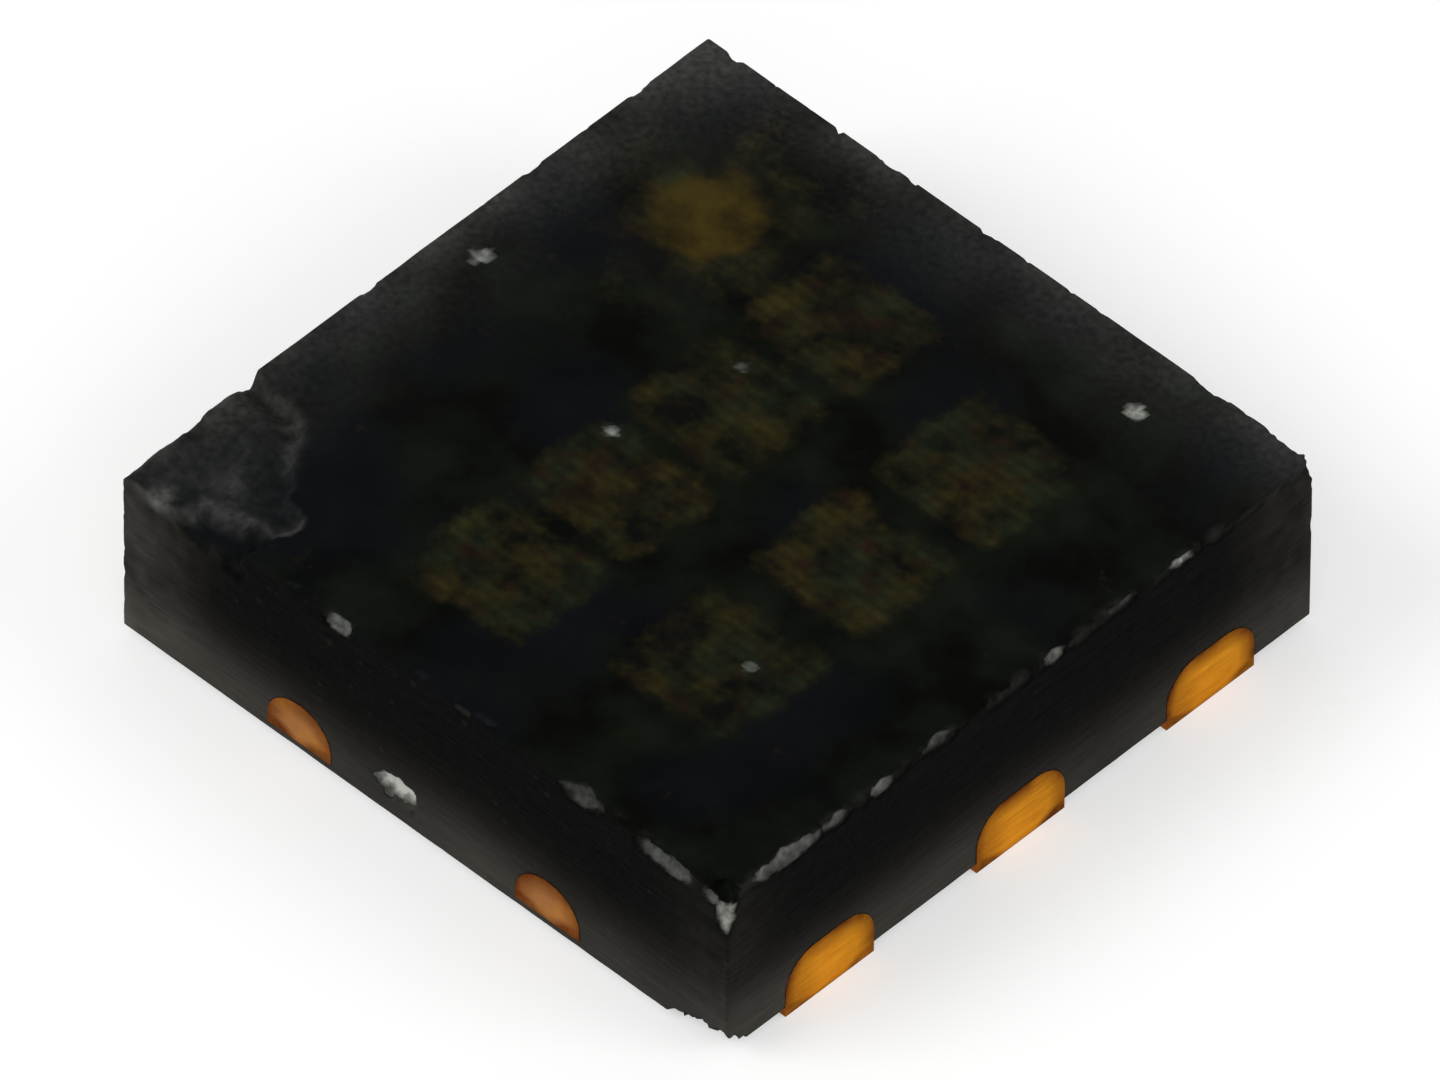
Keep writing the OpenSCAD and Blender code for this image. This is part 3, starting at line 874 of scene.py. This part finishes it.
# Sawn sides: level streaks from the blade, cut filler grains of two tones, and the painted sheen
def sawnResin(tree, place, paintedSheen):
    streak = streaks(tree, place, compound["sawPitch"], compound["sawStretch"])
    streakShare = remap(tree, streak, 0.35, 0.75)
    cut = blend(tree, streakShare, compound["sawn"], compound["sawnLight"])
    cells = addNode(tree, "ShaderNodeTexVoronoi", {"Scale": 1 / compound["grainPitch"]},
                    {"Vector": place})
    chance = addNode(tree, "ShaderNodeSeparateColor", None, {0: cells.outputs["Color"]})
    radius = remap(tree, chance, 0.45, 1.0, 0.0, 0.34)
    inGrain = calc(tree, "SUBTRACT", radius, cells.outputs["Distance"])
    grain = remap(tree, inGrain, 0.0, 0.06, 0.0, 0.8)
    toneShare = remap(tree, chance.outputs[1], 0.45, 0.70)
    tone = blend(tree, toneShare, compound["grainDark"], compound["grainPale"])
    cut = blend(tree, grain, cut, tone)
    sheenShare = calc(tree, "MULTIPLY_ADD", streak, 0.8, 0.6)
    sheenShare = calc(tree, "MULTIPLY", sheenShare, paintedSheen)
    cut = blend(tree, sheenShare, cut, compound["paintedSheen"])
    return cut, streak


# Laser fields: blotches of olive, green and red-brown burning, crossed by fine scan lines, with
# ragged outlines, and the dot's brown in the same clouds
def burntResin(tree, place, laser, cloud, fine):
    blotch = noise(tree, place, compound["blotchSize"], 4.0, 0.6)
    ember = noise(tree, place, compound["emberSize"], 3.0)
    # A wave texture's bands are 2 pi / 20 of a unit apart at scale 1
    scan = addNode(tree, "ShaderNodeTexWave",
                   {"bands_direction": "Y", "Scale": math.pi / 10 / compound["scanPitch"],
                    "Distortion": 0.6, "Detail": 1.0}, {"Vector": place})
    lines = remap(tree, scan, 0.0, 1.0, 0.75, 1.0)
    burnt = remap(tree, blotch, 0.36, 0.68)
    burnt = calc(tree, "MULTIPLY", burnt, lines)
    hue = remap(tree, cloud, 0.42, 0.58)
    etched = blend(tree, hue, compound["laserOlive"], compound["laserGreen"])
    redShare = remap(tree, ember, 0.50, 0.72)
    etched = blend(tree, redShare, etched, compound["laserRed"])
    etched = blend(tree, burnt, compound["laserDark"], etched)
    ragged = calc(tree, "MULTIPLY_ADD", fine, 0.5, laser)
    ragged = calc(tree, "MULTIPLY_ADD", blotch, 1.1, ragged)
    inField = remap(tree, ragged, 0.98, 1.62)
    both = addNode(tree, "ShaderNodeMix", {"data_type": "FLOAT", 0: 0.5}, {2: blotch, 3: cloud})
    dotShare = remap(tree, both, 0.38, 0.60)
    dotTone = blend(tree, dotShare, compound["dot"], compound["dotLight"])
    return inField, etched, dotTone


# Silica-filled epoxy, moulded, sawn, laser marked and chipped. It is near black and quite
# matt, cloudy where moulded, finely streaked and peppered with cut filler grains where sawn,
# brown-olive where the laser burnt it and grey and rough where it broke. Filler grains and
# laser lines are drawn about twice as coarse as real ones, so that they show.
def filledEpoxy():
    material, tree = newMaterial("mouldedFilledEpoxy")
    place = placeInMm(tree)
    pale, sawn, laser, dot, paintedSheen = (
        addNode(tree, "ShaderNodeAttribute", {"attribute_name": name}).outputs["Fac"]
        for name in ("pale", "sawn", "laser", "dot", "paintedSheen"))
    skin, cloud, fine = mouldedSkin(tree, place)
    cut, streak = sawnResin(tree, place, paintedSheen)
    inField, etched, dotTone = burntResin(tree, place, laser, cloud, fine)
    colour = blend(tree, sawn, skin, cut)
    colour = blend(tree, inField, colour, etched)
    colour = blend(tree, dot, colour, dotTone)

    # Broken resin, pale and mottled, in a colour that also paints the highlights and sheen of the pale
    # share
    mottle = remap(tree, fine, 0.32, 0.68, 0.60, 1.30)
    paleShare = addNode(tree, "ShaderNodeMath", {"operation": "MULTIPLY", "use_clamp": True},
                        {0: pale, 1: mottle})
    colour = blend(tree, paleShare, colour, compound["broken"])

    # Heights: a fine eroded grain, saw streaks and torn resin
    skinHeight = calc(tree, "MULTIPLY", fine, compound["skinHeight"])
    cutHeight = calc(tree, "MULTIPLY", streak, compound["cutHeight"])
    torn = noise(tree, place, compound["tornSize"], 6.0)
    tornHeight = calc(tree, "MULTIPLY", torn, compound["tornHeight"])
    broken = remap(tree, pale, 0.01, 0.05)
    height = between(tree, sawn, skinHeight, cutHeight)
    height = between(tree, broken, height, tornHeight)
    rough = remap(tree, fine, 0.2, 0.8, 0.50, 0.68)
    settings = {"IOR": 1.55, "Specular IOR Level": compound["gloss"]}
    shade(tree, settings, colour, rough, height, compound["heightUnit"])
    return material


# Leads and pads

copper = {
    "sawn": "#dc9826",
    "sawnDeep": "#c27e1c",
    "sawnTieShaded": "#a06c42",
    "rim": "#5c260f",
    "sheen": "#ffdfc0",
    "etched": "#a85f2c",
    "etchedDark": "#7d4220",
    "tin": "#c6c5c0",
    "tinDark": "#9c9b97",
    "leadPitch": 0.65,
    "leadHalf": 0.15,
    "tieX": 0.41,
    "tieHalf": 0.105,
    "tieLow": 0.05,
    "sheet": 0.178,
    "cornerR": 0.10,
    "endFrom": (0.9990, 0.9996),    # distance from the middle, past which a face is a sawn end
    "underFrom": (0.0012, 0.0004),  # height, below which a face is the tinned underside
    "rimIn": (0.058, 0.004),        # distances in from a dark rim's end and to its darkest
    "rimUp": (0.018, -0.012),       # the same up from the lower edge
    "footRise": 0.5,                # slope by which that edge's rim rises at the corners
    "dragged": 0.45,                # share of the rim's colour where the saw dragged the copper
    "draggedFrom": (-0.03, -0.12),  # y in a lead between which that comes in
    "cloudSize": 0.08,
    "fineSize": 0.012,
    "sawPitch": 0.006,
    "sawStretch": (20.0, 20.0, 1.0),
    "streakHeight": 0.001,
}


# How far a point of a sawn end lies in from the end's round-cornered outline, and how far up
# from its lower edge, which is taken to rise at its corners. The first distance is
# R - length(max(off - half + R, 0), max(z - sheet + R, 0)), with off across from the middle.
def endDistances(tree, absX, y, z, onX):
    radius = copper["cornerR"]
    leadOff = calc(tree, "PINGPONG", y, copper["leadPitch"] / 2)
    leadOver = calc(tree, "SUBTRACT", leadOff, copper["leadHalf"] - radius)
    tieOff = calc(tree, "SUBTRACT", absX, copper["tieX"])
    tieOff = calc(tree, "ABSOLUTE", tieOff)
    tieOver = calc(tree, "SUBTRACT", tieOff, copper["tieHalf"] - radius)
    over = between(tree, onX, tieOver, leadOver)
    above = calc(tree, "SUBTRACT", z, copper["sheet"] - radius)
    beyond = addNode(tree, "ShaderNodeCombineXYZ", None, {0: over, 1: above})
    beyond = addNode(tree, "ShaderNodeVectorMath", {"operation": "MAXIMUM", 1: (0, 0, 0)}, {0: beyond})
    beyond = addNode(tree, "ShaderNodeVectorMath", {"operation": "LENGTH"}, {0: beyond})
    within = calc(tree, "SUBTRACT", radius, beyond.outputs["Value"])
    lowest = remap(tree, onX, 0.0, 1.0, copper["tieLow"], 0.0)
    up = calc(tree, "SUBTRACT", z, lowest)
    aside = calc(tree, "MAXIMUM", over, 0.0)
    up = calc(tree, "MULTIPLY_ADD", aside, -copper["footRise"], up)
    return within, up


# Share of the dark rim on the sawn ends: smear along the outline, and along the lower edge smear with
# painted contact shade, patchy, and the copper that the saw dragged towards -Y on the X sides
def smearAndShadeShare(tree, within, up, y, onX, cloud):
    rim = remap(tree, within, *copper["rimIn"])
    # Along the lower edge the dark rim is partly painted contact shade
    rimLow = remap(tree, up, *copper["rimUp"])
    rim = calc(tree, "MAXIMUM", rim, rimLow)
    smear = remap(tree, cloud, 0.25, 0.65, 0.50, 1.0)
    rim = calc(tree, "MULTIPLY", rim, smear)
    along = calc(tree, "WRAP", y, copper["leadPitch"] / 2, -copper["leadPitch"] / 2)
    drag = remap(tree, along, *copper["draggedFrom"], 0.0, copper["dragged"])
    drag = calc(tree, "MULTIPLY", drag, onX)
    return calc(tree, "MAXIMUM", rim, drag)


# Copper sheet, etched, sawn through at its outer ends and tin plated underneath. The cuts are bright
# orange with level saw streaks and a dark rim of smear, which along the lower edge is also painted
# contact shade, and made duller on the tie bars as painted shade, the etched faces duller and brown, the
# undersides grey and matt.
def sawnCopper():
    material, tree = newMaterial("sawnEtchedCopper")
    place = placeInMm(tree)
    x, y, z = addNode(tree, "ShaderNodeSeparateXYZ", None, {0: place}).outputs
    absX = calc(tree, "ABSOLUTE", x)
    absY = calc(tree, "ABSOLUTE", y)
    cloud = noise(tree, place, copper["cloudSize"], 3.0)
    fine = noise(tree, place, copper["fineSize"], 2.0)
    streak = streaks(tree, place, copper["sawPitch"], copper["sawStretch"])

    # Sawn ends, of the leads on the X sides and of the tie bars on the Y sides
    onX = remap(tree, absX, *copper["endFrom"])
    onY = remap(tree, absY, *copper["endFrom"])
    isEnd = calc(tree, "MAXIMUM", onX, onY)
    tone = calc(tree, "MULTIPLY_ADD", cloud, 0.6, streak)
    toneShare = remap(tree, tone, 0.55, 1.05)
    cut = blend(tree, toneShare, copper["sawnDeep"], copper["sawn"])
    # Painted shade: the tie bars' sawn ends on the Y sides are made duller
    tieShade = remap(tree, cloud, 0.3, 0.6, 0.55, 1.0)
    tieShade = calc(tree, "MULTIPLY", tieShade, onY)
    cut = blend(tree, tieShade, cut, copper["sawnTieShaded"])
    within, up = endDistances(tree, absX, y, z, onX)
    smearAndShade = smearAndShadeShare(tree, within, up, y, onX, cloud)
    cut = blend(tree, smearAndShade, cut, copper["rim"])

    # Etched faces inside and tin underneath
    inner = blend(tree, cloud, copper["etchedDark"], copper["etched"])
    colour = blend(tree, isEnd, inner, cut)
    under = remap(tree, z, *copper["underFrom"])
    tin = blend(tree, fine, copper["tinDark"], copper["tin"])
    colour = blend(tree, under, colour, tin)
    rough = remap(tree, fine, 0.2, 0.8, 0.34, 0.48)
    height = between(tree, isEnd, fine, streak)
    settings = {"Metallic": 1.0, "Specular Tint": linear(copper["sheen"])}
    shade(tree, settings, colour, rough, height, copper["streakHeight"])
    return material


# Chip, its solder and the wires

chip = {
    "solder": "#a9aaac",
    "solderDark": "#77797d",
    "silicon": "#5a5e68",
    "siliconDark": "#3f434c",
    "metal": "#cfd0d2",
    "metalDark": "#a4a6aa",
    "metalFrom": 0.2985,    # height above which the chip is metal
    "cellPitch": 0.02,
    "cellHeight": 0.0005,
    "sawPitch": 0.006,
    "sawStretch": (1.0, 1.0, 12.0),
    "solderGrain": 0.03,
    "solderHeight": 0.0015,
    "stainSize": 0.1,
    "wire": "#c9763f",
    "wireDark": "#8f4c26",
    "oxideSize": 0.06,
    "dieLineSize": 0.004,
    "dieLineHeight": 0.0003,
}


# Soft solder, reflowed: dull silver with frosty grains and darker flux-stained hollows
def reflowedSolder():
    material, tree = newMaterial("reflowedSolder")
    place = placeInMm(tree)
    grains = addNode(tree, "ShaderNodeTexVoronoi", {"Scale": 1 / chip["solderGrain"]},
                     {"Vector": place})
    stain = noise(tree, place, chip["stainSize"], 4.0)
    share = remap(tree, stain, 0.35, 0.6)
    colour = blend(tree, share, chip["solderDark"], chip["solder"])
    rough = remap(tree, grains.outputs["Distance"], 0.0, 1.0, 0.30, 0.52)
    shade(tree, {"Metallic": 1.0}, colour, rough, grains.outputs["Distance"], chip["solderHeight"])
    return material


# Silicon, sawn at its sides, with sputtered aluminium on top: dark blue-grey with fine
# upright streaks, then pale metal in faint square cells, drawn coarser than real ones
def sawnSilicon():
    material, tree = newMaterial("sawnSiliconAluminiumTop")
    place = placeInMm(tree)
    z = addNode(tree, "ShaderNodeSeparateXYZ", None, {0: place}).outputs[2]
    streak = streaks(tree, place, chip["sawPitch"], chip["sawStretch"])
    sawn = blend(tree, streak, chip["siliconDark"], chip["silicon"])
    cells = addNode(tree, "ShaderNodeTexBrick",
                    {"offset": 0.0, "Scale": 1 / chip["cellPitch"], "Mortar Size": 0.08,
                     "Mortar Smooth": 0.6, "Brick Width": 1.0, "Row Height": 1.0,
                     "Color1": linear(chip["metal"]), "Color2": linear(chip["metal"]),
                     "Mortar": linear(chip["metalDark"])}, {"Vector": place})
    onMetal = calc(tree, "GREATER_THAN", z, chip["metalFrom"])
    colour = blend(tree, onMetal, sawn, cells)
    rough = remap(tree, streak, 0.0, 1.0, 0.18, 0.38)
    shade(tree, {"Metallic": 1.0}, colour, rough, cells.outputs["Fac"], chip["cellHeight"])
    return material


# Bare copper wire, drawn and bonded: bright salmon, with brown oxide in cloudy patches and
# fine die lines
def drawnCopper():
    material, tree = newMaterial("drawnCopperWire")
    place = placeInMm(tree)
    oxide = noise(tree, place, chip["oxideSize"], 3.0)
    dieLines = noise(tree, place, chip["dieLineSize"], 1.0)
    share = remap(tree, oxide, 0.3, 0.55)
    colour = blend(tree, share, chip["wireDark"], chip["wire"])
    rough = remap(tree, dieLines, 0.0, 1.0, 0.20, 0.34)
    shade(tree, {"Metallic": 1.0}, colour, rough, dieLines, chip["dieLineHeight"])
    return material


# Which pieces take each finish

finishes = [
    (sawnCopper(), ["drain_frame", "source_lead", "gate_lead"]),
    (reflowedSolder(), ["die_attach"]),
    (sawnSilicon(), ["mosfet_die"]),
    (drawnCopper(), [f"source_wire_{i}" for i in (1, 2, 3, 4)] + ["gate_wire"]),
]
for material, names in finishes:
    for name in names:
        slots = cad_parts[name].data.materials
        slots.clear()
        slots.append(material)
moldedBody.data.materials.clear()
moldedBody.data.materials.append(filledEpoxy())
print("materials set")

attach(moldedBody, "root")
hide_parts("mold_body")
